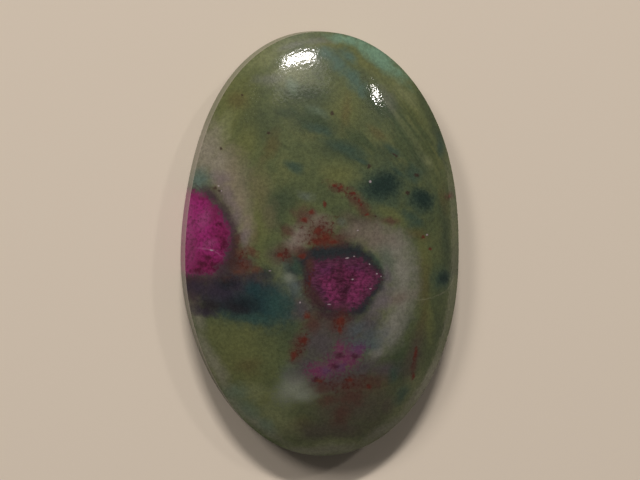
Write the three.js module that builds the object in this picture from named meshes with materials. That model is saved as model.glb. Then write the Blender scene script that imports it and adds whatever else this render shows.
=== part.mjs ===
// An oval cabochon of ruby in fuchsite: a hand-cut, polished stone with a low dome, a girdle wall that
// leans in a little towards the dome, a small bevel under it and a flat back.
// Units are millimetres. +Z is up through the dome, +Y runs along the stone, and the origin is the middle
// of the flat back. The stone is one solid: its crystals and patches are flush with the polish, so they
// are colour and not shape.
import * as THREE from "three";

// Overall size of the stone.
const LENGTH = 39.7;
const WIDTH = 26.0;
const THICKNESS = 7.6;

// The girdle: a bevel from the back to the widest line, then a wall up to the foot of the dome.
const BEVEL_HEIGHT = 0.35;
const BEVEL_INSET = 0.4;
const WALL_HEIGHT = 2.9;
const WALL_LEAN = 0.15;

// The dome is part of an ellipse: how far round the ellipse it goes from the apex, where upright is 90. Short
// of that, it meets the wall in an edge.
const DOME_ARC = THREE.MathUtils.degToRad(60);

// The crown, the highest point of the dome, stands off the middle along Y, so the dome falls more steeply
// towards that end.
const CROWN_OFFSET = -1.2;

// The outline is a slightly full oval. The waves are what grinding by hand leaves: each is a share of the
// radius, with so many swings round the stone, and a cosine and a sine part.
const FULLNESS = 2.08;
const HAND_CUT_WAVES = [
  { swings: 3, cosine: -0.002, sine: -0.005 },
  { swings: 4, cosine: 0.0, sine: 0.0035 },
  { swings: 5, cosine: -0.003, sine: -0.002 },
];

// How finely the surface is faceted.
const SEGMENTS = 96;
const DOME_RINGS = 24;

const STONE_COLOUR = 0x5a6140;
const POLISH_ROUGHNESS = 0.2;

const wallTop = BEVEL_HEIGHT + WALL_HEIGHT;
const domeHeight = THICKNESS - wallTop;

// A point of the hand-cut oval at an angle from +X, before it is centred and brought to size.
function roughOutline(angle) {
  const alongX = Math.abs(Math.cos(angle) / (WIDTH / 2)) ** FULLNESS;
  const alongY = Math.abs(Math.sin(angle) / (LENGTH / 2)) ** FULLNESS;
  let radius = (alongX + alongY) ** (-1 / FULLNESS);
  for (const wave of HAND_CUT_WAVES) {
    const swing = wave.swings * angle;
    radius *= 1 + wave.cosine * Math.cos(swing) + wave.sine * Math.sin(swing);
  }
  return new THREE.Vector2(Math.cos(angle), Math.sin(angle)).multiplyScalar(radius);
}

// The box round the rough oval, measured at the facets' corners.
function roughBox() {
  const box = new THREE.Box2();
  for (let i = 0; i < SEGMENTS; i++) {
    box.expandByPoint(roughOutline((i / SEGMENTS) * 2 * Math.PI));
  }
  return box;
}

const rough = { centre: new THREE.Vector2(), size: new THREE.Vector2() };
const box = roughBox();
box.getCenter(rough.centre);
box.getSize(rough.size);

// The same point, centred on the origin and with the stone's true length and width.
function outline(angle) {
  return roughOutline(angle)
    .sub(rough.centre)
    .multiply(new THREE.Vector2(WIDTH / rough.size.x, LENGTH / rough.size.y));
}

// How far the girdle stands in from the widest line at a height.
function girdleInset(height) {
  if (height < BEVEL_HEIGHT) return BEVEL_INSET * (1 - height / BEVEL_HEIGHT);
  return WALL_LEAN * Math.min(1, (height - BEVEL_HEIGHT) / WALL_HEIGHT);
}

// The stone's section as a share of the outline against height, from the middle of the back to the apex.
function section() {
  const points = [
    new THREE.Vector2(0, 0),
    new THREE.Vector2(1, 0),
    new THREE.Vector2(1, BEVEL_HEIGHT),
    new THREE.Vector2(1, wallTop),
  ];
  const arcDrop = 1 - Math.cos(DOME_ARC);
  for (let ring = DOME_RINGS - 1; ring > 0; ring--) {
    const arc = (DOME_ARC * ring) / DOME_RINGS;
    const share = Math.sin(arc) / Math.sin(DOME_ARC);
    const drop = (1 - Math.cos(arc)) / arcDrop;
    points.push(new THREE.Vector2(share, THICKNESS - domeHeight * drop));
  }
  points.push(new THREE.Vector2(0, THICKNESS));
  return points;
}

// A round lathe form with that section, whose rings are then drawn out to the oval outline, and the inner
// ones moved towards the crown.
function cabochonGeometry() {
  const geometry = new THREE.LatheGeometry(section(), SEGMENTS);
  geometry.rotateX(Math.PI / 2);
  const position = geometry.getAttribute("position");
  for (let i = 0; i < position.count; i++) {
    const x = position.getX(i);
    const y = position.getY(i);
    const height = position.getZ(i);
    const share = Math.hypot(x, y);
    const angle = Math.atan2(y, x);
    const point = outline(angle);
    point.setLength(point.length() - girdleInset(height)).multiplyScalar(share);
    position.setXY(i, point.x, point.y + CROWN_OFFSET * (1 - share * share));
  }
  geometry.deleteAttribute("uv");
  geometry.computeVertexNormals();
  return geometry;
}

const polishedStone = new THREE.MeshStandardMaterial({
  color: STONE_COLOUR,
  roughness: POLISH_ROUGHNESS,
  metalness: 0,
});

const cabochon = new THREE.Mesh(cabochonGeometry(), polishedStone);
cabochon.name = "cabochon";

const part = new THREE.Group();
part.name = "ruby_in_fuchsite_cabochon";
part.add(cabochon);

export default part;
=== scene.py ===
"""An oval cabochon of ruby in fuchsite, polished, lying on a plain pale floor."""
import math

import bpy
from mathutils import Matrix, Vector, noise


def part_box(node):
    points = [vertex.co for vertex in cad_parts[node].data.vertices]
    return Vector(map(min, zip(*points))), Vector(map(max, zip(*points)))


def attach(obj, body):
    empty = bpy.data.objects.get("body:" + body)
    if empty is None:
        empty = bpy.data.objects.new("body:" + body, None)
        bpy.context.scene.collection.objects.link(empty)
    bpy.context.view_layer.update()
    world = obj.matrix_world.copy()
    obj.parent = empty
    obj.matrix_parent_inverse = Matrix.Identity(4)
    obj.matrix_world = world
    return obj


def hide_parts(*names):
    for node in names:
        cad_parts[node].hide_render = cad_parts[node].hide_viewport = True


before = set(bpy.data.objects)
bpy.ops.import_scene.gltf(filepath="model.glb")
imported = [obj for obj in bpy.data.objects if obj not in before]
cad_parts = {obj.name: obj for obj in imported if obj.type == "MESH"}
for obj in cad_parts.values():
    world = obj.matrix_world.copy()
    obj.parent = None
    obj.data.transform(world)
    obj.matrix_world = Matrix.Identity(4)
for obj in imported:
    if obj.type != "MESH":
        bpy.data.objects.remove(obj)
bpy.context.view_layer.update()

MM = 0.001

# The girdle and the dome, as the solid has them, in millimetres.
BEVEL_HEIGHT = 0.35
BEVEL_INSET = 0.4
WALL_HEIGHT = 2.9
WALL_LEAN = 0.15
WALL_TOP = BEVEL_HEIGHT + WALL_HEIGHT
DOME_ARC = math.radians(60)
CROWN_OFFSET = -1.2

# The outline: how much fuller than an ellipse it is, which has 2, and the slow waves left by hand cutting.
# Each wave has how often it swings in one turn, and its share as a cosine and as a sine.
FULLNESS = 2.08
HAND_CUT_WAVES = [(3, -0.002, -0.005), (4, 0.0, 0.0035), (5, -0.003, -0.002)]

# What polishing leaves, in millimetres: rounded edges, and a face that is not quite even. The unevenness
# fades out over the lowest share of the dome.
SHOULDER_ROUND = 0.7
SHOULDER_STEPS = 6
EDGE_ROUND = 0.12
EDGE_STEPS = 4
FACE_UNEVEN = 0.012
UNEVEN_SPAN = 5.0
UNEVEN_FADE = 0.25

# The mesh: its cuts round the stone and up the dome, how near to a height a corner counts as on it, how near
# to another it is the same, and the angle from which an edge is a crease.
CUTS_ROUND = 360
RINGS_PER_QUARTER = 180
NEAR = 0.001 * MM
SAME = 0.0001 * MM
CREASE = math.radians(30)

# The camera looks down on the stone from its upper left.
CAMERA_AT = Vector((-28.8, 13.1, 183.8)) * MM
CAMERA_LOOKS_AT = Vector((0.2, 0.25, 0.0)) * MM
CAMERA_ROLL = math.radians(-0.15)
LENS = 111.2
SENSOR = 36.0
NEAREST_SEEN = 10 * MM

# The floor, in metres, and how rough its card is.
FLOOR_SIZE = 2.0
CARD_ROUGHNESS = 0.9

# Warm lamps, and the directions they hang in from the stone.
WARM_WHITE = (1, 0.95, 0.9)
ROOM_BRIGHTNESS = 0.075
UP_THE_LENGTH = (-0.055, 0.736, 0.674)
ABOVE_LONG_LAMP = (-0.055, 0.64, 0.766)
UPPER_RIGHT = (0.546, 0.524, 0.654)
UPPER_LEFT = (-0.52, 0.52, 0.68)

low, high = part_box("cabochon")
WIDTH, LENGTH, THICKNESS = [side / MM for side in high - low]


def deselect_all():
    for thing in bpy.context.selected_objects:
        thing.select_set(False)


def select_edges(piece, keep):
    """Selects the edges of a piece, which is in edit mode, whose two ends both pass a test."""
    bpy.ops.mesh.select_mode(type="VERT")
    bpy.ops.mesh.select_all(action="DESELECT")
    bpy.ops.object.mode_set(mode="OBJECT")
    for corner in piece.data.vertices:
        corner.select = keep(corner.co)
    bpy.ops.object.mode_set(mode="EDIT")
    bpy.ops.mesh.select_mode(type="EDGE")


def oval_factor(angle):
    """How far the hand-cut outline lies from a plain oval of the same length and width, at an angle."""
    plain_x, plain_y = WIDTH / 2, LENGTH / 2
    across = math.cos(angle) / plain_x
    along = math.sin(angle) / plain_y
    plain = math.hypot(across, along) ** -1
    full = (abs(across) ** FULLNESS + abs(along) ** FULLNESS) ** (-1 / FULLNESS)
    for swings, cosine, sine in HAND_CUT_WAVES:
        full *= 1 + cosine * math.cos(swings * angle) + sine * math.sin(swings * angle)
    return full / plain


def polished_stone():
    """The stone: a cap of a ball drawn out to an oval dome, with the wall and bevel drawn down from it."""
    dome_height = THICKNESS - WALL_TOP
    half = Vector((WIDTH / 2, LENGTH / 2, 0))
    rim = half - Vector((WALL_LEAN, WALL_LEAN, 0))
    back = half - Vector((BEVEL_INSET, BEVEL_INSET, 0))

    deselect_all()
    bpy.ops.mesh.primitive_circle_add(
        vertices=4 * RINGS_PER_QUARTER, radius=MM, rotation=(math.pi / 2, 0, 0)
    )
    stone = bpy.context.object
    stone.name = "polished_stone"
    bpy.ops.object.transform_apply(location=False, rotation=True, scale=False)
    bpy.ops.object.mode_set(mode="EDIT")
    # The cap ends where the shoulder's rounding begins, so a plain strip is left for the bevel to round.
    cap_share = 1 - SHOULDER_ROUND / rim.x
    cap_height = math.sqrt(1 - (cap_share * math.sin(DOME_ARC)) ** 2)
    cap_edge = Vector((0, 0, cap_height * MM))
    for on_cut, kept_side in ((Vector(), Vector((1, 0, 0))), (cap_edge, Vector((0, 0, 1)))):
        bpy.ops.mesh.select_all(action="SELECT")
        bpy.ops.mesh.bisect(plane_co=on_cut, plane_no=kept_side, clear_inner=True, threshold=NEAR)
    bpy.ops.mesh.select_all(action="SELECT")
    bpy.ops.mesh.spin(steps=CUTS_ROUND, angle=math.tau, center=(0, 0, 0), axis=(0, 0, 1))
    bpy.ops.mesh.select_all(action="SELECT")
    bpy.ops.mesh.remove_doubles(threshold=SAME)
    bpy.ops.mesh.select_all(action="SELECT")
    bpy.ops.transform.translate(value=(0, 0, -math.cos(DOME_ARC) * MM))
    stretch = (
        rim.x / math.sin(DOME_ARC),
        rim.y / math.sin(DOME_ARC),
        dome_height / (1 - math.cos(DOME_ARC)),
    )
    bpy.ops.transform.resize(value=stretch, center_override=(0, 0, 0))
    bpy.ops.transform.translate(value=(0, 0, WALL_TOP * MM))

    # The wall, the bevel and the back are drawn down and in from the rim.
    cap_end = WALL_TOP + dome_height * (cap_height - math.cos(DOME_ARC)) / (1 - math.cos(DOME_ARC))
    select_edges(stone, lambda place: place.z < cap_end * MM + NEAR)
    reach = rim * cap_share
    for next_reach, drop in ((rim, cap_end - WALL_TOP), (half, WALL_HEIGHT), (back, BEVEL_HEIGHT)):
        bpy.ops.mesh.extrude_region_move(TRANSFORM_OT_translate={"value": (0, 0, -drop * MM)})
        bpy.ops.transform.resize(
            value=(next_reach.x / reach.x, next_reach.y / reach.y, 1), center_override=(0, 0, 0)
        )
        reach = next_reach
    bpy.ops.mesh.edge_face_add()

    for height, radius, steps in (
        (WALL_TOP, SHOULDER_ROUND, SHOULDER_STEPS),
        (BEVEL_HEIGHT, EDGE_ROUND, EDGE_STEPS),
        (0, EDGE_ROUND, EDGE_STEPS),
    ):
        select_edges(stone, lambda place: abs(place.z - height * MM) < NEAR)
        bpy.ops.mesh.bevel(offset=radius * MM, segments=steps, affect="EDGES")
    bpy.ops.mesh.select_all(action="SELECT")
    bpy.ops.mesh.remove_doubles(threshold=SAME)
    bpy.ops.mesh.normals_make_consistent(inside=False)
    bpy.ops.object.mode_set(mode="OBJECT")
    grind_to_outline(stone)
    bpy.ops.object.shade_smooth_by_angle(angle=CREASE)
    return stone


def grind_to_outline(stone):
    """Moves the corners out to the hand-cut outline, and lets the dome rise and fall a little."""
    for corner in stone.data.vertices:
        place = corner.co
        share = math.hypot(place.x / WIDTH, place.y / LENGTH) * 2 / MM
        factor = oval_factor(math.atan2(place.y, place.x))
        place.x *= factor
        place.y *= factor
        place.y += CROWN_OFFSET * MM * max(0.0, 1 - share**2)
        up_the_dome = max(0.0, place.z / MM - WALL_TOP) / (THICKNESS - WALL_TOP)
        rise = noise.noise(Vector((place.x, place.y, 0)) / (UNEVEN_SPAN * MM))
        place.z += rise * FACE_UNEVEN * MM * min(1.0, up_the_dome / UNEVEN_FADE)
    box_low = [min(corner.co[axis] for corner in stone.data.vertices) for axis in range(3)]
    box_high = [max(corner.co[axis] for corner in stone.data.vertices) for axis in range(3)]
    for corner in stone.data.vertices:
        for axis in range(2):
            middle = (box_low[axis] + box_high[axis]) / 2
            span = box_high[axis] - box_low[axis]
            corner.co[axis] = (corner.co[axis] - middle) * (high[axis] - low[axis]) / span


def floor():
    deselect_all()
    bpy.ops.mesh.primitive_plane_add(size=FLOOR_SIZE)
    table = bpy.context.object
    table.name = "floor"
    # Card without a coating: its open fibres scatter the light, so it is pale and quite without gloss.
    card = bpy.data.materials.new("uncoated_card")
    card.use_nodes = True
    shader = card.node_tree.nodes["Principled BSDF"]
    shader.inputs["Base Color"].default_value = linear("#d4c8b9")
    shader.inputs["Roughness"].default_value = CARD_ROUGHNESS
    table.data.materials.append(card)
    return table


def camera():
    back = (CAMERA_AT - CAMERA_LOOKS_AT).normalized()
    right = Vector((0, 1, 0)).cross(back).normalized()
    up = back.cross(right)
    turn = Matrix((right, up, back)).transposed() @ Matrix.Rotation(CAMERA_ROLL, 3, "Z")
    seen = bpy.data.cameras.new("camera")
    seen.lens = LENS
    seen.sensor_width = SENSOR
    seen.clip_start = NEAREST_SEEN
    eye = bpy.data.objects.new("camera", seen)
    eye.matrix_world = Matrix.Translation(CAMERA_AT) @ turn.to_4x4()
    bpy.context.scene.collection.objects.link(eye)
    bpy.context.scene.camera = eye


def lamp(name, towards, distance, wide, high, power, mirrored):
    """A soft box hung in a direction from the stone, facing it, and either mirrored in the polish or not."""
    direction = Vector(towards).normalized()
    light = bpy.data.lights.new(name, "AREA")
    light.shape = "RECTANGLE"
    light.size = wide
    light.size_y = high
    light.energy = power
    light.color = WARM_WHITE
    hung = bpy.data.objects.new(name, light)
    hung.location = direction * distance
    hung.rotation_euler = (-direction).to_track_quat("-Z", "Y").to_euler()
    hung.visible_glossy = mirrored
    bpy.context.scene.collection.objects.link(hung)


def lights():
    # The lamps a metre off light the stone and aren't mirrored. Its polish mirrors those before them: two
    # small bright lamps with a faint haze round each, and lit ceiling above the long one, fainter still.
    lamp("long_lamp", UP_THE_LENGTH, distance=1.0, wide=0.25, high=0.054, power=4.2, mirrored=False)
    lamp("long_lamp_glow", UP_THE_LENGTH, distance=0.95, wide=0.24, high=0.034, power=2.4, mirrored=True)
    lamp("long_lamp_haze", UP_THE_LENGTH, distance=0.97, wide=0.32, high=0.12, power=0.5, mirrored=True)
    lamp("ceiling_haze", ABOVE_LONG_LAMP, distance=0.98, wide=0.46, high=0.2, power=0.16, mirrored=True)
    lamp("right_lamp", UPPER_RIGHT, distance=1.0, wide=0.1, high=0.1, power=0.68, mirrored=False)
    lamp("round_lamp_glow", UPPER_RIGHT, distance=0.95, wide=0.022, high=0.016, power=0.24, mirrored=True)
    lamp("round_lamp_haze", UPPER_RIGHT, distance=0.97, wide=0.06, high=0.045, power=0.14, mirrored=True)
    lamp("side_window", UPPER_LEFT, distance=1.0, wide=0.25, high=0.25, power=3.2, mirrored=False)
    world = bpy.data.worlds.new("room")
    world.use_nodes = True
    world.node_tree.nodes["Background"].inputs["Color"].default_value = (*WARM_WHITE, 1)
    world.node_tree.nodes["Background"].inputs["Strength"].default_value = ROOM_BRIGHTNESS
    bpy.context.scene.world = world


def linear(sheet_colour):
    """An sRGB hex colour as the linear values that Blender works in."""
    shares = [int(sheet_colour[start:start + 2], 16) / 255 for start in (1, 3, 5)]
    opened = [share / 12.92 if share <= 0.04045 else ((share + 0.055) / 1.055) ** 2.4 for share in shares]
    return opened + [1]


def add_node(tree, kind, settings, inputs):
    """Adds a node, makes its settings, and fills each input with a value or another node's output."""
    node = tree.nodes.new(kind)
    for name, value in settings.items():
        setattr(node, name, value)
    for name, value in inputs.items():
        if isinstance(value, bpy.types.NodeSocket):
            tree.links.new(value, node.inputs[name])
        else:
            node.inputs[name].default_value = value
    return node


def away_group(name):
    """An empty node group that is to say how far away a place is, and the place that it is given."""
    group = bpy.data.node_groups.new(name, "ShaderNodeTree")
    group.interface.new_socket("Place", in_out="INPUT", socket_type="NodeSocketVector")
    group.interface.new_socket("Away", in_out="OUTPUT", socket_type="NodeSocketFloat")
    return group, add_node(group, "NodeGroupInput", {}, {}).outputs["Place"]


def face_height(x, y):
    """How high the dome stands over a place, in millimetres, near enough to set a spot in its surface."""
    share = min(1.0, math.hypot(2 * x / WIDTH, 2 * y / LENGTH))
    fall = 1 - math.sqrt(1 - (share * math.sin(DOME_ARC)) ** 2)
    return THICKNESS - (THICKNESS - WALL_TOP) * fall / (1 - math.cos(DOME_ARC))


def away_from_spots(name, spots, deep):
    """How far a place is from the nearest of some spots, in that spot's own size, so that 1 is its edge."""
    group, place = away_group(name)
    # What is nearest so far starts out further away than any edge.
    nearest = THICKNESS
    for turn in sorted({its_turn for *_, its_turn in spots}):
        along = Vector((math.cos(math.radians(turn)), math.sin(math.radians(turn)), 0))
        across = Vector((-along.y, along.x, 0))
        turned = add_node(group, "ShaderNodeCombineXYZ", {}, {})
        for axis, direction in enumerate((along, across, Vector((0, 0, 1)))):
            part = add_node(group, "ShaderNodeVectorMath", {"operation": "DOT_PRODUCT"}, {
                0: place, 1: direction,
            })
            group.links.new(part.outputs["Value"], turned.inputs[axis])
        for x, y, half_long, half_wide, its_turn in spots:
            if its_turn != turn:
                continue
            middle = Vector((x, y, face_height(x, y)))
            stretch = Vector((1 / half_long, 1 / half_wide, 1 / deep))
            moved = Vector((-middle.dot(along), -middle.dot(across), -middle.z)) * stretch
            from_middle = add_node(group, "ShaderNodeVectorMath", {"operation": "MULTIPLY_ADD"}, {
                0: turned.outputs[0], 1: stretch, 2: moved,
            })
            far = add_node(group, "ShaderNodeVectorMath", {"operation": "LENGTH"}, {
                0: from_middle.outputs[0],
            })
            nearest = add_node(group, "ShaderNodeMath", {"operation": "MINIMUM"}, {
                0: nearest, 1: far.outputs["Value"],
            }).outputs[0]
    add_node(group, "NodeGroupOutput", {}, {"Away": nearest})
    return group


def away_from_crystal(name, corners):
    """How far a place is from an upright crystal: 1 at its sides, and 1 more for each millimetre outside."""
    group, place = away_group(name)
    furthest = -THICKNESS
    for (x, y), (next_x, next_y) in zip(corners, corners[1:] + corners[:1]):
        outward = Vector((next_y - y, x - next_x, 0)).normalized()
        along = add_node(group, "ShaderNodeVectorMath", {"operation": "DOT_PRODUCT"}, {
            0: place, 1: outward,
        })
        beyond_side = add_node(group, "ShaderNodeMath", {"operation": "SUBTRACT"}, {
            0: along.outputs["Value"], 1: outward.dot(Vector((x, y, 0))) - 1,
        })
        furthest = add_node(group, "ShaderNodeMath", {"operation": "MAXIMUM"}, {
            0: furthest, 1: beyond_side.outputs[0],
        }).outputs[0]
    add_node(group, "NodeGroupOutput", {}, {"Away": furthest})
    return group


def stain(tree, colour, paint, away, pattern, ragged, soft, cover, thin=0.0):
    """Lays a colour on where a place is nearer than 1, with an edge that a pattern makes ragged.

    The pattern swings the edge by the ragged distance: outwards where it is low, or where it is high if that
    is below 0. The edge fades over the soft distance to each side, and is drawn in by the thin distance.
    """
    edge = 1 + ragged / 2 - thin
    torn = add_node(tree, "ShaderNodeMath", {"operation": "MULTIPLY_ADD"}, {
        0: pattern, 1: ragged, 2: away,
    })
    share = add_node(tree, "ShaderNodeMapRange", {"interpolation_type": "SMOOTHSTEP", "clamp": False}, {
        "Value": torn.outputs[0], "From Min": edge + soft, "From Max": edge - soft, "To Max": cover,
    })
    # A mix of colours takes its share at 0 and its colours at 6 and 7, and gives the result at 2.
    return add_node(tree, "ShaderNodeMix", {"data_type": "RGBA"}, {
        0: share.outputs[0], 6: colour, 7: paint,
    }).outputs[2]


def pushed_about(tree, place, size, reach):
    """The place, pushed about by noise of a size, so that what is drawn there gets uneven."""
    noise_there = add_node(tree, "ShaderNodeTexNoise", {}, {
        "Vector": place, "Scale": 1 / size, "Detail": PUSH_DETAIL, "Roughness": PUSH_ROUGHNESS,
    })
    push = add_node(tree, "ShaderNodeVectorMath", {"operation": "MULTIPLY_ADD"}, {
        0: noise_there.outputs["Color"], 1: (reach, reach, reach), 2: (-reach / 2, -reach / 2, -reach / 2),
    })
    return add_node(tree, "ShaderNodeVectorMath", {"operation": "ADD"}, {
        0: place, 1: push.outputs[0],
    }).outputs[0]


# The ground colour: clouds of this size in millimetres, through these colours.
CLOUD_SIZE = 3.2
CLOUD_DETAIL = 5
CLOUD_ROUGHNESS = 0.65
CLOUD_COLOURS = [(0.36, "#444c33"), (0.5, "#4e5638"), (0.66, "#575c3b")]

# The patterns that break the marks up, each with the size of its patches in millimetres and how much finer
# detail it has. Two are drawn out: each is turned by an angle in degrees, and then has a size along, across
# and down. The grains stand for flakes of mica of 0.05 to 0.1 mm, which are too fine to be seen, and are
# drawn coarser.
EVEN_PATTERNS = [("broad", 2.2, 4), ("middling", 0.8, 4), ("fine", 0.3, 3), ("grain", 0.14, 2)]
DRAWN_OUT_PATTERNS = [("stripes", 0, (0.5, 0.17, 0.9), 2), ("flow", -54, (4.0, 0.5, 2.0), 3)]
PATTERN_ROUGHNESS = 0.6

# How the marks are pushed about: the broad ones far and slowly, the rest a little at short turns. Each has
# the size of its turns and its reach in millimetres.
DRIFT = dict(size=2.0, reach=1.0)
WAVER = dict(size=0.5, reach=0.45)
PUSH_DETAIL = 3
PUSH_ROUGHNESS = 0.55

# Fine light and dark all over: the share of the fine pattern that it uses, how dark and light that gets, and
# how far the grains swing about it.
FINE_FROM, FINE_TO = 0.3, 0.7
FINE_DARK, FINE_LIGHT = 0.84, 1.14
GRAIN_SWING = 0.6

# The polish: where it fades to the satin of the ground wall, in millimetres above the floor, and how much of
# it is left there. The flakes of mica are where the grain pattern is low, and keep less of it.
SATIN_UP_TO = 2.4
POLISHED_FROM = 4.2
POLISH_ON_WALL = 0.2
FLAKE_FROM, FLAKE_TO = 0.38, 0.5
POLISH_ON_FLAKE = 0.35
POLISH_ROUGHNESS = 0.05

# The stone under its polish, and the stipple left in its face, in millimetres.
STIPPLE_SIZE = 0.32
STIPPLE_DETAIL = 2
STIPPLE_DEPTH = 0.012
MICA_IOR = 1.6
STONE_ROUGHNESS = 0.36
STONE_SPECULAR = 0.2

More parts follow.
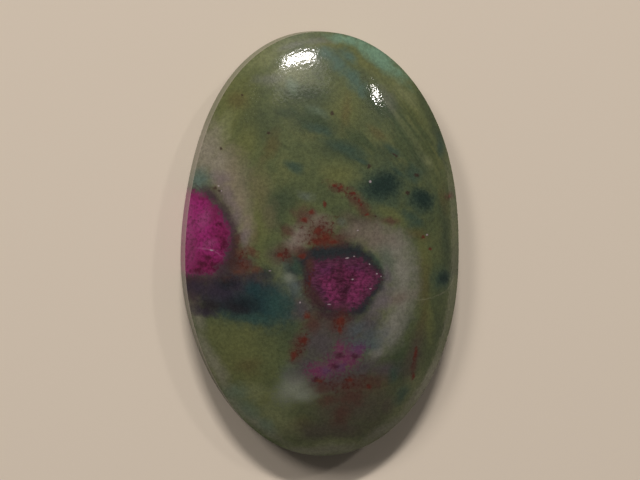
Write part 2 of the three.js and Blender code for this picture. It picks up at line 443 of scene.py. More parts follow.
# The marks in the stone, in each list from the lowest laid on to the uppermost. Each has its name, colour,
# depth in millimetres, the pattern that breaks it up, how it is laid on, and its spots. A spot has the x and
# y of its middle, its half length and half width, all in millimetres, and the turn of its length in degrees.
# First come the patches of the green rock itself, with a few that paint light: a glow along the rim and haze
# below the long highlight.
FUCHSITE = [
    ("yellow_olive", "#5d6039", 6.0, "broad", dict(ragged=1.4, soft=0.9, cover=0.8), [
        (-8.6, 12.4, 3.8, 1.4, 61), (-7.6, 9.4, 2.0, 1.0, 80), (-6.4, 3.6, 3.4, 0.7, 92),
        (-8.3, -9.6, 2.8, 2.4, 80), (-7.2, -12.0, 1.8, 1.4, 0), (1.6, 12.6, 1.8, 1.2, 80),
        (0.8, 6.6, 1.4, 0.8, -10), (4.0, 16.6, 2.2, 0.5, -38), (7.3, 13.2, 2.6, 0.9, -50),
        (8.9, -0.8, 1.8, 0.6, 100), (9.5, -6.8, 2.0, 0.5, 100), (-5.9, -13.8, 1.0, 0.7, 0),
        (5.4, 3.2, 1.4, 0.5, -15), (8.9, 5.4, 0.8, 0.5, -30), (9.9, 8.6, 1.4, 0.6, -70),
        (0.5, 18.6, 1.6, 0.4, -5),
    ]),
    ("brown_olive", "#544e2f", 4.0, "middling", dict(ragged=1.4, soft=0.9, cover=0.7), [
        (-8.0, 13.4, 0.8, 0.7, 0), (-5.3, 9.2, 1.3, 0.5, 70), (-7.4, -10.9, 1.1, 0.7, 0),
        (1.6, 12.4, 1.3, 0.4, 80), (2.9, 4.0, 1.6, 0.45, -50), (8.5, 1.0, 1.0, 0.4, -20),
        (11.2, 4.0, 1.2, 0.4, 95), (-2.5, -16.3, 1.0, 0.6, 0), (-6.8, 1.1, 0.7, 0.35, 80),
        (8.8, -7.2, 1.8, 0.5, 80), (4.5, 10.4, 0.9, 0.3, -40), (8.9, -3.6, 2.2, 0.6, 90),
    ]),
    ("dark_olive", "#374230", 6.0, "broad", dict(ragged=1.4, soft=0.9, cover=0.8), [
        (-1.6, 11.4, 2.8, 0.8, -14), (1.1, 9.1, 2.0, 0.8, -18), (-4.6, 4.1, 1.4, 1.1, 60),
        (-3.7, -7.6, 1.6, 0.9, 80), (-3.6, 12.2, 1.2, 0.5, 0), (7.6, 7.0, 1.0, 0.6, 0),
        (11.2, 0.8, 2.6, 0.6, 92), (6.7, -11.0, 2.4, 1.1, -75), (10.4, 11.0, 2.4, 0.4, -68),
        (6.8, -7.4, 1.2, 0.8, 60), (-1.5, 13.8, 1.8, 0.8, 0), (5.0, 13.2, 1.4, 0.8, -50),
        (5.2, 8.6, 0.9, 0.6, -30), (8.8, 7.6, 1.2, 0.8, -50),
    ]),
    ("umber_grey", "#4a4239", 6.0, "broad", dict(ragged=1.4, soft=0.9, cover=0.85), [
        (2.5, -14.8, 3.8, 2.6, 0), (1.0, -17.0, 4.0, 1.2, 0), (5.8, -15.0, 1.2, 1.0, 45),
        (8.2, -10.6, 2.6, 0.8, 80), (-0.8, -7.2, 1.4, 1.6, 0), (2.3, 2.4, 1.3, 0.6, -20),
        (1.6, 1.3, 1.0, 0.5, 10), (-3.0, -5.4, 0.9, 0.8, 0), (-4.6, -0.6, 1.0, 0.8, 0),
    ]),
    # Pale olive patches of the rock; the long one along the bottom rim is painted glow of light through the
    # thin edge.
    ("pale_olive_and_painted_rim_glow", "#6c704e", 6.0, "middling", dict(ragged=1.4, soft=0.9, cover=0.75), [
        (7.5, 14.0, 1.7, 0.6, -50), (-4.8, -15.8, 2.0, 1.2, -30), (-5.2, 17.4, 2.2, 0.6, 32),
        (-9.3, 10.9, 1.4, 0.6, 65), (9.4, 7.6, 0.6, 0.3, -60), (1.0, -18.8, 4.5, 0.6, 0),
        (-3.6, 15.9, 1.8, 0.8, 15), (-6.9, -13.4, 1.4, 0.8, 0), (7.8, -13.6, 2.0, 0.8, 55),
        (7.4, -15.6, 1.8, 0.9, 45),
    ]),
    # Painted glow along the rim: a paler band for light coming through the thin edge and for the pale floor
    # mirrored in the steep shoulder.
    ("painted_rim_glow", "#7a7868", 4.0, "middling", dict(ragged=1.0, soft=0.9, cover=0.7), [
        (-11.8, 9.0, 2.6, 0.5, 74), (-12.0, -5.8, 2.0, 0.5, 105), (-10.4, -10.6, 3.6, 0.5, 118),
        (-6.8, -16.0, 3.4, 0.5, 142), (0.0, -19.2, 4.6, 0.5, 0), (6.0, -17.2, 3.0, 0.5, 32),
        (9.8, -12.8, 3.0, 0.5, 54),
    ]),
    # Teal along the upper right rim: the stone's own teal, made lighter there by painted glow of light
    # coming through the thin edge.
    ("teal", "#65826d", 5.0, "middling", dict(ragged=1.4, soft=0.8, cover=0.9), [
        (5.0, 17.5, 3.0, 0.7, -38), (2.2, 18.9, 1.5, 0.4, -18),
    ]),
    # Dull teal patches of the rock at the lower left; the two spots below the long highlight are painted
    # haze, a blurred reflection of the lamp in the polish.
    ("dull_teal_and_painted_haze", "#596754", 4.0, "middling", dict(ragged=1.4, soft=0.9, cover=0.8), [
        (-8.3, -13.4, 0.9, 0.7, 0), (-7.2, -15.0, 1.2, 0.8, -50), (-5.6, -16.6, 1.0, 0.6, -40),
        (-3.1, 14.8, 0.7, 0.4, 100), (-1.0, 12.4, 0.9, 0.4, -20),
    ]),
    ("blue_teal", "#475c50", 3.0, "middling", dict(ragged=1.4, soft=0.8, cover=0.9), [
        (1.2, 16.8, 1.3, 0.6, -50), (2.5, 15.3, 1.5, 0.6, -52), (0.2, 17.7, 0.9, 0.6, 0),
        (3.3, 14.4, 0.6, 0.5, -60), (-3.9, -1.4, 0.6, 0.4, -50), (4.2, -8.8, 0.6, 0.45, 20),
        (2.2, 17.4, 0.8, 0.4, -40),
    ]),
    # Slate grey patches; the spot below left of the long highlight is painted haze, a blurred reflection of
    # the lamp in the polish.
    ("slate_and_painted_haze", "#5d6052", 3.0, "middling", dict(ragged=1.4, soft=0.9, cover=0.8), [
        (-5.2, 15.3, 1.2, 0.5, 10), (5.9, 13.2, 1.2, 0.7, -60), (-2.9, 18.5, 1.2, 0.3, 22),
        (-0.6, 18.9, 1.4, 0.25, 0),
    ]),
    ("flow", "#37442e", 4.0, "flow", dict(ragged=4.0, soft=0.8, cover=0.75, thin=0.6), [
        (7.4, 10.6, 4.0, 2.2, -55), (3.2, 9.6, 2.6, 1.0, -25), (9.8, 9.0, 2.6, 1.2, -65),
        (-1.0, 11.6, 3.0, 1.2, -20), (5.0, 13.0, 2.0, 1.0, -50),
    ]),
    ("pale_flow", "#666b4d", 4.0, "flow", dict(ragged=-4.0, soft=0.8, cover=0.25, thin=0.7), [
        (7.0, 11.0, 4.0, 1.8, -55), (9.0, 7.6, 2.6, 1.2, -65),
    ]),
    ("buff", "#766d5b", 5.0, "middling", dict(ragged=1.0, soft=0.9, cover=0.95), [
        (-9.1, 6.6, 2.2, 1.6, 100), (-8.2, 4.4, 2.4, 1.0, 96), (-7.6, 2.2, 1.8, 0.7, 92),
    ]),
    ("pale_buff", "#7e786a", 4.0, "middling", dict(ragged=1.0, soft=0.9, cover=0.9), [
        (-10.9, 8.8, 2.2, 1.2, 75), (-10.0, 7.6, 1.4, 0.9, 90),
    ]),
    ("pink_olive", "#625c44", 4.0, "middling", dict(ragged=1.4, soft=0.9, cover=0.6), [
        (-6.3, 5.4, 1.8, 0.8, 90), (-5.4, 3.0, 1.2, 0.6, 90),
    ]),
    ("lilac_buff", "#6b5f60", 3.0, "middling", dict(ragged=1.4, soft=0.9, cover=0.75), [
        (-9.1, 4.6, 1.2, 0.5, 115), (-8.4, 3.0, 0.8, 0.5, 90), (-7.6, 1.2, 0.8, 0.4, 90),
        (-9.8, 6.4, 0.8, 0.5, 0),
    ]),
    ("blue_grey", "#53645c", 3.0, "middling", dict(ragged=1.0, soft=0.9, cover=0.95), [
        (-11.6, 6.2, 1.0, 0.8, 60),
    ]),
    ("white_mica", "#79776d", 5.0, "middling", dict(ragged=1.2, soft=0.95, cover=0.95), [
        (5.8, 0.0, 1.8, 1.4, -40), (6.8, -2.0, 2.2, 1.25, 95), (6.7, -4.6, 2.2, 1.3, 80),
        (5.9, -7.3, 2.2, 1.1, 63), (4.6, -9.6, 0.9, 0.5, 45),
    ]),
    ("pink_buff", "#695f55", 4.0, "middling", dict(ragged=1.2, soft=0.95, cover=0.9), [
        (3.9, 1.1, 2.2, 1.1, -10), (6.4, -4.6, 1.2, 0.6, 10), (2.3, 1.7, 1.0, 0.6, 0),
        (-3.3, 0.3, 0.7, 0.6, 0), (-1.1, 2.5, 1.4, 0.6, -20),
    ]),
    ("pale_pink", "#786c64", 3.0, "middling", dict(ragged=1.4, soft=0.9, cover=0.85), [
        (-2.8, 1.1, 1.1, 0.9, 40),
    ]),
    ("grey_green", "#535b4e", 4.0, "middling", dict(ragged=1.2, soft=0.9, cover=0.85), [
        (5.3, -1.6, 1.4, 0.7, 100), (-3.7, -2.9, 1.6, 0.9, -60), (-4.2, -4.6, 1.5, 0.9, -70),
        (-3.5, -11.4, 1.4, 0.8, 70), (-2.3, 4.8, 0.7, 0.35, -20), (1.0, 2.4, 0.4, 0.3, 0),
    ]),
    ("mauve_grey", "#4a4346", 4.0, "middling", dict(ragged=1.2, soft=0.9, cover=0.9), [
        (5.2, -11.5, 1.4, 0.8, 0), (1.7, -7.6, 2.2, 1.4, 0), (-0.8, -8.9, 1.8, 1.8, 0),
        (-1.8, -10.8, 1.5, 1.1, 30), (3.3, -7.2, 1.2, 1.2, 0), (2.6, -8.6, 1.5, 0.8, 20),
        (-2.8, -12.0, 0.9, 0.6, 0), (0.6, -12.2, 2.6, 0.9, 10), (3.0, -11.2, 1.6, 0.8, 20),
        (-2.6, -5.4, 0.9, 0.9, 0),
    ]),
    ("pink_grey", "#635b5f", 4.0, "middling", dict(ragged=1.2, soft=0.9, cover=0.85), [
        (4.6, -4.8, 1.6, 0.7, 60), (5.3, -2.6, 0.8, 0.5, 90),
    ]),
    ("blue_mist", "#4a5357", 3.0, "middling", dict(ragged=1.4, soft=0.9, cover=0.7), [
        (4.0, -9.0, 0.9, 0.6, 0), (3.4, -8.6, 1.8, 1.1, 20), (2.4, -7.4, 0.9, 0.6, 0),
        (-3.2, -3.4, 0.8, 0.5, -60),
    ]),
    ("whitish", "#7a7e70", 3.0, "fine", dict(ragged=1.8, soft=0.95, cover=0.85), [
        (-2.6, -13.5, 1.3, 0.7, 5), (-3.3, -13.0, 1.4, 1.0, 30), (-3.6, -2.6, 0.5, 0.4, 0),
    ]),
    ("dark_edge", "#252e2e", 3.0, "middling", dict(ragged=1.4, soft=0.9, cover=0.9), [
        (-3.2, -1.8, 1.0, 0.7, -60), (-3.0, -0.9, 0.8, 0.5, 0), (-2.4, -1.2, 0.8, 0.6, 90),
        (-8.9, -2.4, 0.9, 0.5, 0), (-6.1, -2.2, 0.7, 0.6, 0), (-6.8, -3.6, 1.0, 0.6, 0),
    ]),
    ("bottle_green", "#35473b", 3.0, "middling", dict(ragged=1.2, soft=0.9, cover=0.85), [
        (4.9, 5.5, 2.2, 1.7, 20), (8.8, 4.3, 1.4, 1.2, -35), (7.7, 2.7, 1.0, 0.5, -38),
        (8.2, 2.2, 0.6, 0.5, 0), (10.8, -3.2, 1.0, 0.9, 0), (-3.1, -1.5, 1.0, 0.4, -55),
        (4.3, -1.4, 0.9, 0.3, -50), (-3.9, -5.2, 0.6, 0.5, 0), (1.7, 9.0, 1.6, 0.5, -20),
        (6.0, 8.8, 0.9, 0.3, -35), (2.9, 8.0, 0.8, 0.25, -30), (10.9, 9.2, 0.9, 0.35, 95),
        (-3.3, 7.3, 0.8, 0.35, -20), (8.0, 6.5, 0.9, 0.7, -40), (6.1, -12.0, 0.8, 0.4, 80),
        (7.1, -14.0, 0.9, 0.5, 60), (-0.6, 10.6, 1.2, 0.4, -20), (6.3, 6.9, 0.8, 0.3, -30),
    ]),
    ("dark_teal", "#182925", 2.5, "fine", dict(ragged=1.0, soft=0.7, cover=0.9), [
        (5.0, 5.7, 1.55, 1.2, 15), (8.9, 4.3, 1.05, 0.9, -38), (11.0, -3.1, 0.6, 0.55, 0),
    ]),
]

# The dark pool below the edge crystal, and the dark margin beside it.
POOL = [
    ("pool_purple", "#3a2c32", 3.0, "middling", dict(ragged=1.2, soft=0.8, cover=0.92), [
        (-10.3, -3.9, 2.6, 1.5, -4), (-12.2, -4.0, 1.8, 1.2, 100), (-9.0, -0.6, 2.4, 1.0, 95),
        (-7.0, -2.9, 1.8, 0.9, -15), (-9.4, 2.6, 2.4, 0.7, 110), (-9.6, -1.8, 1.4, 1.0, 60),
        (-10.5, 4.8, 0.9, 0.5, 130), (-8.1, -1.6, 1.2, 1.0, 0),
    ]),
    ("pool_rust", "#55352a", 2.0, "fine", dict(ragged=2.0, soft=0.9, cover=0.8), [
        (-7.8, -1.6, 0.8, 0.6, 0), (-8.2, -0.4, 0.6, 0.5, 0), (-7.1, -0.2, 0.6, 0.3, -40),
        (-8.2, -2.1, 0.6, 0.3, 0), (-9.2, -2.9, 0.5, 0.3, 0), (-8.4, 0.8, 0.5, 0.3, 90),
        (-6.8, -1.9, 0.5, 0.3, 0),
    ]),
    ("pool_brown", "#3a2523", 3.0, "middling", dict(ragged=1.4, soft=0.9, cover=0.9), [
        (-8.8, 0.2, 1.3, 0.5, 95), (-9.0, -1.2, 0.7, 0.5, 0), (-12.2, -2.9, 1.0, 0.5, 0),
    ]),
    ("pool_teal", "#1e3639", 3.0, "middling", dict(ragged=1.0, soft=0.7, cover=0.97), [
        (-7.8, -5.2, 3.2, 1.5, -6), (-5.8, -5.0, 2.3, 1.8, -35), (-6.9, -3.9, 1.3, 0.9, -20),
    ]),
    ("pool_green", "#2b4540", 3.0, "middling", dict(ragged=1.4, soft=0.9, cover=0.8), [
        (-4.9, -5.2, 0.8, 1.0, 0), (-7.0, -6.3, 2.2, 0.4, -6),
    ]),
    ("pool_violet", "#2f2735", 3.0, "middling", dict(ragged=1.4, soft=0.9, cover=0.85), [
        (-9.8, -4.0, 1.8, 1.0, -6), (-8.7, -3.4, 1.0, 0.7, -10), (-11.8, -3.6, 1.2, 0.7, 0),
        (-11.2, -5.9, 1.0, 0.4, -10),
    ]),
    ("pool_umber", "#221b20", 3.0, "middling", dict(ragged=1.4, soft=0.9, cover=0.8), [
        (-8.4, -5.4, 1.2, 0.7, -8), (-10.6, -5.3, 0.9, 0.5, 0),
    ]),
    ("pool_black", "#131a1f", 3.0, "middling", dict(ragged=1.2, soft=0.9, cover=0.7), [
        (-7.6, -5.0, 1.2, 0.6, -10), (-9.2, -3.2, 0.8, 0.5, 0),
    ]),
]

# The sections of the crystals, and of the dark halo of the middle one, as corners in millimetres going
# round to the left.
EDGE_CORNERS = [
    (-14.5, 5.2), (-14.5, -2.3), (-12.4, -2.5), (-10.5, -2.3), (-9.6, -1.0), (-9.1, 0.3), (-8.95, 1.7),
    (-10.1, 3.7), (-11.3, 4.9), (-12.4, 5.2),
]
MIDDLE_CORNERS = [
    (-1.6, -1.2), (-2.0, -2.8), (-1.4, -4.1), (-0.6, -5.1), (0.4, -5.6), (1.7, -5.7), (2.8, -5.3),
    (4.2, -3.4), (4.7, -2.65), (3.5, -1.5), (2.7, -0.95), (1.5, -0.9),
]
HALO_CORNERS = [
    (-2.7, -0.3), (-2.6, -2.2), (-2.0, -3.9), (-1.0, -5.6), (0.3, -6.2), (2.0, -6.3), (3.3, -5.8),
    (4.6, -3.9), (5.0, -2.6), (3.9, -0.8), (2.7, 0.3), (0.5, 0.55), (-1.6, 0.4),
]

# What lies on the crystals.
EDGE_MARKS = [
    ("edge_red", "#661840", 4.0, "middling", dict(ragged=2.0, soft=0.9, cover=0.8), [
        (-9.6, 1.0, 1.8, 0.9, 95), (-10.2, 3.0, 1.4, 0.7, 105), (-11.2, -1.6, 2.2, 1.0, -4),
        (-11.4, 4.9, 1.0, 0.5, 0), (-12.4, 0.0, 1.0, 0.5, 80),
    ]),
    # Pink in the edge crystal; the long strip along its left side is a painted sheen, the pale floor
    # mirrored in the steep rim.
    ("edge_pink_and_painted_sheen", "#87406a", 4.0, "fine", dict(ragged=2.4, soft=0.9, cover=0.65), [
        (-12.7, 2.0, 3.6, 0.6, 94), (-11.4, 5.0, 0.5, 0.3, 0), (-11.2, 2.6, 1.0, 0.5, 60),
        (-10.8, 0.4, 0.6, 0.3, 20),
    ]),
    ("edge_dark", "#430f25", 2.0, "fine", dict(ragged=3.0, soft=0.8, cover=0.85), [
        (-10.3, -1.6, 0.5, 0.4, 0), (-11.4, -1.5, 0.5, 0.3, 0), (-10.9, -0.9, 0.3, 0.25, 0),
        (-11.8, -2.1, 0.6, 0.25, 0), (-9.5, 0.4, 0.3, 0.5, 0), (-9.9, 2.2, 0.3, 0.2, 0),
    ]),
    ("edge_crack", "#8f5375", 1.5, "fine", dict(ragged=1.0, soft=0.8, cover=0.6), [
        (-11.1, -0.1, 0.8, 0.06, -4), (-10.2, -0.4, 0.5, 0.06, -32),
    ]),
]
MIDDLE_MARKS = [
    ("middle_magenta", "#7a2b59", 3.0, "fine", dict(ragged=2.4, soft=0.9, cover=0.9), [
        (2.8, -3.2, 1.3, 1.0, -30), (2.3, -4.6, 1.0, 0.7, 0), (-0.1, -3.4, 0.6, 1.0, 0),
        (0.0, -4.5, 0.8, 0.6, 0),
    ]),
    ("middle_purple", "#421c40", 3.0, "fine", dict(ragged=2.4, soft=0.9, cover=0.8), [
        (-0.6, -1.9, 1.0, 0.6, 10), (2.2, -1.6, 1.2, 0.5, -20), (-1.0, -3.9, 0.7, 0.4, -50),
        (1.4, -3.8, 0.4, 0.3, 0),
    ]),
    ("middle_brown", "#46283a", 3.0, "fine", dict(ragged=2.4, soft=0.9, cover=0.7), [
        (-1.5, -2.3, 0.5, 1.3, 0), (-1.0, -4.3, 0.9, 0.3, -40), (0.0, -1.0, 1.0, 0.25, 8),
    ]),
    ("middle_cracks", "#2a0815", 3.0, "fine", dict(ragged=2.0, soft=0.8, cover=0.85), [
        (0.8, -2.6, 1.4, 0.4, 94), (1.1, -4.6, 1.0, 0.4, 84), (1.4, -3.7, 0.8, 0.4, 60),
        (3.0, -4.1, 0.3, 0.2, 0), (2.1, -1.4, 0.35, 0.2, 0), (1.9, -2.7, 0.5, 0.4, 0),
        (0.1, -2.4, 0.9, 0.12, 60), (-1.2, -4.1, 0.6, 0.2, -50), (3.4, -2.2, 0.5, 0.12, -45),
    ]),
]

# Rust and maroon stains, specks, and two healed cracks.
RUST = [
    ("rust_stain", "#4c2f28", 3.0, "middling", dict(ragged=2.0, soft=0.9, cover=0.75), [
        (-1.0, 1.4, 1.4, 0.9, 20), (0.1, 0.8, 1.3, 0.6, 0), (-2.4, 3.0, 0.9, 0.8, 0),
        (-4.2, -0.5, 0.8, 0.7, 30), (-2.8, -0.3, 0.8, 0.5, 0), (-2.0, -1.6, 0.7, 0.4, 82),
        (-1.5, -4.4, 1.2, 0.4, -50), (8.2, -11.2, 1.2, 0.25, 84), (4.0, -12.6, 1.4, 0.8, 10),
        (1.3, -15.6, 1.1, 0.8, 80), (0.1, -14.1, 0.8, 0.6, 0), (0.8, -6.7, 1.0, 1.0, 88),
        (-1.6, -6.8, 0.9, 0.7, 60), (-2.9, -9.0, 1.3, 0.6, 70), (2.2, -13.9, 1.2, 0.8, 0),
        (5.6, 2.4, 0.8, 0.3, -8), (0.8, 5.5, 0.9, 0.4, -20), (-3.9, 1.5, 0.5, 0.5, 0),
        (11.8, 4.5, 0.4, 0.3, 0), (2.4, -12.7, 2.2, 0.8, 0), (-0.5, -12.9, 0.9, 0.6, 0),
        (2.7, 3.9, 1.4, 0.5, -50),
    ]),
    ("red_brown", "#55291f", 3.0, "fine", dict(ragged=3.0, soft=0.8, cover=0.75), [
        (-0.8, 0.7, 1.0, 0.5, 10), (0.9, -6.5, 0.5, 0.6, 0),
    ]),
    ("maroon", "#38222a", 3.0, "fine", dict(ragged=1.6, soft=0.9, cover=0.65), [
        (-1.6, -4.6, 1.5, 0.5, -50), (-0.2, -6.0, 1.4, 0.45, -12), (-2.2, -3.0, 0.9, 0.4, 80),
    ]),
    ("rust_scatter", "#4d201a", 3.0, "fine", dict(ragged=5.0, soft=0.5, cover=0.75, thin=0.9), [
        (-1.0, 1.6, 2.4, 1.4, 20), (1.5, 5.0, 2.2, 0.7, -30), (-4.2, -0.4, 0.8, 0.8, 0),
        (-2.6, -8.6, 2.0, 0.7, 70), (1.6, -12.7, 2.6, 1.2, 0), (-1.9, -2.8, 1.6, 0.5, 82),
        (-7.9, -1.0, 1.4, 0.7, 90), (8.2, -10.6, 1.8, 0.3, 84), (0.8, -6.9, 1.0, 0.7, 0),
    ]),
    ("rust_speck", "#58241a", 0.8, "fine", dict(ragged=1.6, soft=0.7, cover=0.9), [
        (-1.75, 3.3, 0.25, 0.2, 30), (-2.4, 2.6, 0.3, 0.2, 0), (-1.2, 1.6, 0.4, 0.25, 20),
        (-0.5, 1.0, 0.4, 0.35, 0), (-1.3, 0.6, 0.4, 0.2, 0), (0.2, 0.6, 0.4, 0.2, 0),
        (-4.6, -0.6, 0.25, 0.2, 0), (-2.65, -0.65, 0.3, 0.2, 0), (0.4, 5.75, 0.22, 0.15, 0),
        (1.0, 5.5, 0.2, 0.18, 0), (2.1, 4.95, 0.2, 0.12, -30), (2.65, 4.3, 0.12, 0.12, 0),
        (2.85, 3.95, 0.12, 0.12, 0), (3.4, 3.0, 0.2, 0.12, 0), (-0.5, 4.0, 0.28, 0.13, 100),
        (-2.15, -6.1, 0.28, 0.28, 0), (-2.4, -8.4, 0.35, 0.28, 0), (-3.3, -9.8, 0.4, 0.25, 80),
        (2.0, -12.2, 0.3, 0.25, 0), (0.9, -6.7, 0.35, 0.4, 0), (0.9, -7.4, 0.4, 0.16, 90),
        (-0.9, -12.2, 0.35, 0.2, 0), (9.7, -0.3, 0.16, 0.14, 0), (8.9, 0.8, 0.2, 0.12, -20),
        (8.3, -10.0, 0.5, 0.18, 80), (8.2, -12.2, 0.25, 0.15, 80), (11.8, 4.5, 0.14, 0.14, 0),
        (3.8, -12.9, 0.25, 0.2, 0),
    ]),
    ("dark_speck", "#33221d", 0.8, "fine", dict(ragged=1.0, soft=0.6, cover=0.85), [
        (-9.65, 9.05, 0.15, 0.13, 0), (-7.65, 13.85, 0.12, 0.07, 0), (8.3, 6.5, 0.25, 0.18, 0),
        (7.3, 4.9, 0.3, 0.15, 0), (-10.2, 5.5, 0.2, 0.15, 0), (6.2, 8.4, 0.3, 0.12, -20),
        (-9.9, 5.2, 0.15, 0.1, 0), (3.7, 7.4, 0.2, 0.15, 30), (-5.4, 10.4, 0.15, 0.12, 0),
        (0.4, 12.2, 0.16, 0.16, 0), (4.2, 2.85, 0.14, 0.08, 0),
    ]),
    ("healed_crack", "#77775f", 0.8, "fine", dict(ragged=0.8, soft=0.8, cover=0.5), [
        (9.0, -4.95, 0.9, 0.06, 2), (10.7, -4.6, 1.0, 0.06, 18), (11.9, -3.8, 0.7, 0.06, 55),
    ]),
]

# Painted glints: pale specks for single flakes of mica that catch the light.
PAINTED_GLINTS = [
    ("painted_glint", "#a3959b", 0.5, "grain", dict(ragged=1.0, soft=0.6, cover=0.8), [
        (-9.9, 5.65, 0.09, 0.07, 0), (-9.65, 5.2, 0.06, 0.06, 0), (1.5, -0.9, 0.15, 0.06, 10),
        (2.15, -0.75, 0.08, 0.05, 0), (3.6, -1.5, 0.08, 0.05, -40), (4.3, -2.4, 0.08, 0.06, 0),
        (4.7, -2.65, 0.06, 0.06, 0), (2.0, -2.85, 0.09, 0.06, 0), (3.7, -3.75, 0.11, 0.05, 0),
        (-0.15, -5.1, 0.14, 0.05, 0), (-2.8, -4.9, 0.06, 0.08, 0), (-5.5, -2.0, 0.11, 0.04, 0),
        (3.75, 6.0, 0.11, 0.10, 0), (9.3, 1.0, 0.11, 0.08, 0), (-10.6, -0.2, 0.15, 0.06, -10),
        (2.5, 1.6, 0.08, 0.06, 0),
    ]),
]

# A streak of broken ruby below the middle crystal.
STREAK = [
    ("streak_mauve", "#553649", 2.5, "fine", dict(ragged=2.4, soft=1.0, cover=0.75), [
        (-0.7, -11.2, 1.0, 0.7, 20), (0.7, -10.6, 1.3, 1.0, 30), (1.9, -10.1, 1.0, 0.8, 40),
        (2.6, -9.5, 0.6, 0.4, 20),
    ]),
    ("streak_magenta", "#6d3052", 2.0, "fine", dict(ragged=3.6, soft=0.9, cover=0.85, thin=0.15), [
        (1.4, -10.2, 1.3, 0.9, 30), (-1.0, -11.3, 1.0, 0.7, 0), (0.3, -10.8, 0.9, 0.5, 20),
        (0.9, -9.3, 0.7, 0.5, 80), (2.6, -9.5, 0.6, 0.4, 20),
    ]),
    ("streak_purple", "#553c5a", 2.0, "fine", dict(ragged=3.6, soft=0.9, cover=0.7, thin=0.2), [
        (2.7, -9.3, 0.8, 0.5, 20), (1.0, -10.9, 0.5, 0.4, 0), (-0.3, -11.2, 0.5, 0.4, 0),
    ]),
    ("streak_dark", "#3f1b28", 2.0, "fine", dict(ragged=2.4, soft=0.8, cover=0.8), [
        (0.5, -10.9, 0.4, 0.25, 0), (0.9, -9.9, 0.4, 0.2, 0), (2.3, -10.0, 0.3, 0.2, 0),
        (-1.2, -12.1, 0.3, 0.2, 0),
    ]),
]

# The dark that the middle crystal lies in, and how it is laid on.
HALO_COLOUR = "#1f242b"
HALO_EDGE = dict(ragged=1.2, soft=0.5, cover=0.95)

# The crystals, each in a dark rim of its own. Over a crystal's own colour come its marks, and then its
# flecks. A fleck colour has one distance all over, so it lies wherever its pattern is low enough. The one
# without a distance lies along the crystal's sides, as wide as the margin. Widths are in millimetres.
EDGE_CRYSTAL = dict(
    name="edge_crystal",
    corners=EDGE_CORNERS,
    rim_width=0.35,
    rim_colour="#43303b",
    rim_edge=dict(ragged=1.2, soft=0.6, cover=0.9),
    colour="#872462",
    marks=EDGE_MARKS,
    flecks=[("#591635", 1.5, "fine", dict(ragged=5.0, soft=0.8, cover=0.6))],
    edge=dict(ragged=1.6, soft=0.35, cover=1.0),
)
MIDDLE_CRYSTAL = dict(
    name="middle_crystal",
    corners=MIDDLE_CORNERS,
    rim_width=0.25,
    rim_colour="#3a2630",
    rim_edge=dict(ragged=1.6, soft=0.4, cover=0.85),
    colour="#5e2042",
    marks=MIDDLE_MARKS,
    margin=0.65,
    flecks=[
        ("#330c1e", 1.3, "fine", dict(ragged=5.0, soft=0.8, cover=0.75)),
        # Painted glints: pale pink flecks on the crystal where its grains catch the light.
        ("#8d4f70", 1.8, "grain", dict(ragged=5.0, soft=0.5, cover=0.45)),
        ("#4a2a3c", None, "fine", dict(ragged=1.6, soft=0.3, cover=0.6)),
        ("#380f24", 1.2, "stripes", dict(ragged=5.0, soft=0.9, cover=0.5)),
        ("#804262", 1.0, "stripes", dict(ragged=-5.0, soft=0.9, cover=0.2)),
    ],
    edge=dict(ragged=1.4, soft=0.2, cover=1.0),
)


def lay_marks(tree, colour, marks, place, patterns):
    """Lays a list of marks over a colour, one after the other."""
    for name, paint, deep, pattern, how, spots in marks:
        group = away_from_spots(name, spots, deep)
        away = add_node(tree, "ShaderNodeGroup", {"node_tree": group, "label": name}, {"Place": place})
        colour = stain(tree, colour, linear(paint), away.outputs["Away"], patterns[pattern], **how)
    return colour


def lay_crystal(tree, colour, crystal, place, patterns):
    """Lays a crystal's dark rim over a colour, and then the crystal with its own marks and flecks."""
    away = add_node(tree, "ShaderNodeGroup", {
        "node_tree": away_from_crystal(crystal["name"], crystal["corners"]),
    }, {"Place": place}).outputs["Away"]
    rim = add_node(tree, "ShaderNodeMath", {"operation": "SUBTRACT"}, {
        0: away, 1: crystal["rim_width"],
    })
    colour = stain(
        tree, colour, linear(crystal["rim_colour"]), rim.outputs[0], patterns["fine"], **crystal["rim_edge"]
    )
    body = lay_marks(tree, linear(crystal["colour"]), crystal["marks"], place, patterns)
    for paint, distance, pattern, how in crystal["flecks"]:
        if distance is None:
            distance = add_node(tree, "ShaderNodeMath", {"operation": "SUBTRACT"}, {
                0: 2 - crystal["margin"], 1: away,
            }).outputs[0]
        body = stain(tree, body, linear(paint), distance, patterns[pattern], **how)
    return stain(tree, colour, body, away, patterns["fine"], **crystal["edge"])


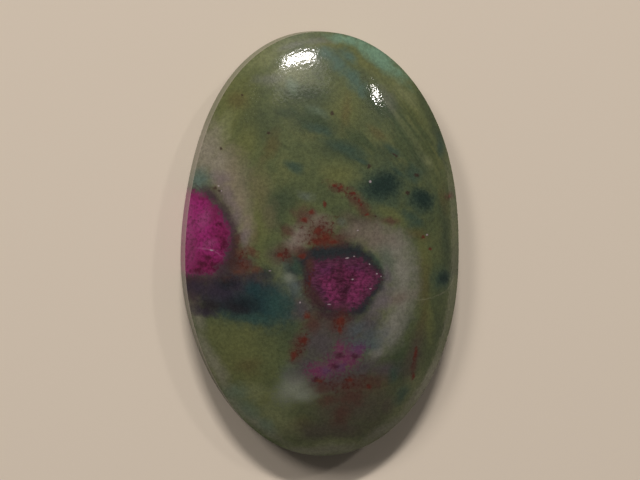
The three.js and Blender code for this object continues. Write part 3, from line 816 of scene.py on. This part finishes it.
def polished_ruby_in_fuchsite():
    """Ruby in fuchsite, cut and polished: a soft green mica rock, clouded and flecked, with hard magenta
    crystals in it. It takes a bright polish that its mica breaks up into fine speckle."""
    stone_finish = bpy.data.materials.new("polished_ruby_in_fuchsite")
    stone_finish.use_nodes = True
    tree = stone_finish.node_tree
    where = add_node(tree, "ShaderNodeTexCoord", {}, {})
    place = add_node(tree, "ShaderNodeMapping", {}, {
        "Vector": where.outputs["Object"], "Scale": (1 / MM, 1 / MM, 1 / MM),
    }).outputs[0]
    patterns = {}
    for name, turn, size, detail in DRAWN_OUT_PATTERNS:
        drawn_out = add_node(tree, "ShaderNodeMapping", {"vector_type": "TEXTURE"}, {
            "Vector": place, "Rotation": (0, 0, math.radians(turn)), "Scale": size,
        })
        patterns[name] = add_node(tree, "ShaderNodeTexNoise", {}, {
            "Vector": drawn_out.outputs[0], "Scale": 1.0, "Detail": detail,
        }).outputs["Fac"]
    for name, size, detail in EVEN_PATTERNS:
        patterns[name] = add_node(tree, "ShaderNodeTexNoise", {}, {
            "Vector": place, "Scale": 1 / size, "Detail": detail, "Roughness": PATTERN_ROUGHNESS,
        }).outputs["Fac"]
    drifting = pushed_about(tree, place, **DRIFT)
    wavering = pushed_about(tree, place, **WAVER)

    clouds = add_node(tree, "ShaderNodeTexNoise", {}, {
        "Vector": drifting, "Scale": 1 / CLOUD_SIZE, "Detail": CLOUD_DETAIL,
        "Roughness": CLOUD_ROUGHNESS,
    })
    ramp = add_node(tree, "ShaderNodeValToRGB", {}, {"Fac": clouds.outputs["Fac"]})
    for share, paint in CLOUD_COLOURS[1:-1]:
        ramp.color_ramp.elements.new(share)
    for stop, (share, paint) in zip(ramp.color_ramp.elements, CLOUD_COLOURS):
        stop.position = share
        stop.color = linear(paint)
    colour = lay_marks(tree, ramp.outputs["Color"], FUCHSITE, drifting, patterns)
    colour = lay_marks(tree, colour, POOL, wavering, patterns)

    halo = add_node(tree, "ShaderNodeGroup", {"node_tree": away_from_crystal("halo", HALO_CORNERS)}, {
        "Place": wavering,
    })
    colour = stain(
        tree, colour, linear(HALO_COLOUR), halo.outputs["Away"], patterns["middling"], **HALO_EDGE
    )
    colour = lay_crystal(tree, colour, EDGE_CRYSTAL, wavering, patterns)
    colour = lay_crystal(tree, colour, MIDDLE_CRYSTAL, wavering, patterns)
    colour = lay_marks(tree, colour, STREAK, wavering, patterns)
    colour = lay_marks(tree, colour, RUST, wavering, patterns)
    colour = lay_marks(tree, colour, PAINTED_GLINTS, place, patterns)

    # Fine light and dark all over.
    shade = add_node(tree, "ShaderNodeMapRange", {"interpolation_type": "SMOOTHSTEP", "clamp": False}, {
        "Value": patterns["fine"], "From Min": FINE_FROM, "From Max": FINE_TO, "To Min": FINE_DARK,
        "To Max": FINE_LIGHT,
    })
    shade = add_node(tree, "ShaderNodeMath", {"operation": "MULTIPLY_ADD"}, {
        0: patterns["grain"], 1: GRAIN_SWING, 2: shade.outputs[0],
    })
    shade = add_node(tree, "ShaderNodeMath", {"operation": "SUBTRACT"}, {
        0: shade.outputs[0], 1: GRAIN_SWING / 2,
    })
    colour = add_node(tree, "ShaderNodeVectorMath", {"operation": "SCALE"}, {
        0: colour, "Scale": shade.outputs[0],
    }).outputs[0]

    # Polish on the dome, down to the ground wall below it, broken by flakes of mica that take it less well.
    height = add_node(tree, "ShaderNodeSeparateXYZ", {}, {"Vector": place})
    polish = add_node(tree, "ShaderNodeMapRange", {"interpolation_type": "SMOOTHSTEP", "clamp": False}, {
        "Value": height.outputs["Z"], "From Min": SATIN_UP_TO, "From Max": POLISHED_FROM,
        "To Min": POLISH_ON_WALL,
    })
    flakes = add_node(tree, "ShaderNodeMapRange", {"interpolation_type": "SMOOTHSTEP", "clamp": False}, {
        "Value": patterns["grain"], "From Min": FLAKE_FROM, "From Max": FLAKE_TO, "To Min": POLISH_ON_FLAKE,
    })
    polish = add_node(tree, "ShaderNodeMath", {"operation": "MULTIPLY"}, {
        0: polish.outputs[0], 1: flakes.outputs[0],
    })
    stipple = add_node(tree, "ShaderNodeTexNoise", {}, {
        "Vector": place, "Scale": 1 / STIPPLE_SIZE, "Detail": STIPPLE_DETAIL,
    })
    bump = add_node(tree, "ShaderNodeBump", {}, {
        "Height": stipple.outputs["Fac"], "Distance": STIPPLE_DEPTH * MM,
    })
    shader = tree.nodes["Principled BSDF"]
    tree.links.new(colour, shader.inputs["Base Color"])
    tree.links.new(polish.outputs[0], shader.inputs["Coat Weight"])
    tree.links.new(bump.outputs["Normal"], shader.inputs["Normal"])
    tree.links.new(bump.outputs["Normal"], shader.inputs["Coat Normal"])
    shader.inputs["Roughness"].default_value = STONE_ROUGHNESS
    shader.inputs["IOR"].default_value = MICA_IOR
    shader.inputs["Specular IOR Level"].default_value = STONE_SPECULAR
    shader.inputs["Coat Roughness"].default_value = POLISH_ROUGHNESS
    shader.inputs["Coat IOR"].default_value = MICA_IOR
    return stone_finish


stone = polished_stone()
stone.data.materials.append(polished_ruby_in_fuchsite())
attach(stone, "root")
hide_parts("cabochon")

floor()
camera()
lights()
bpy.context.scene.view_settings.view_transform = "Standard"
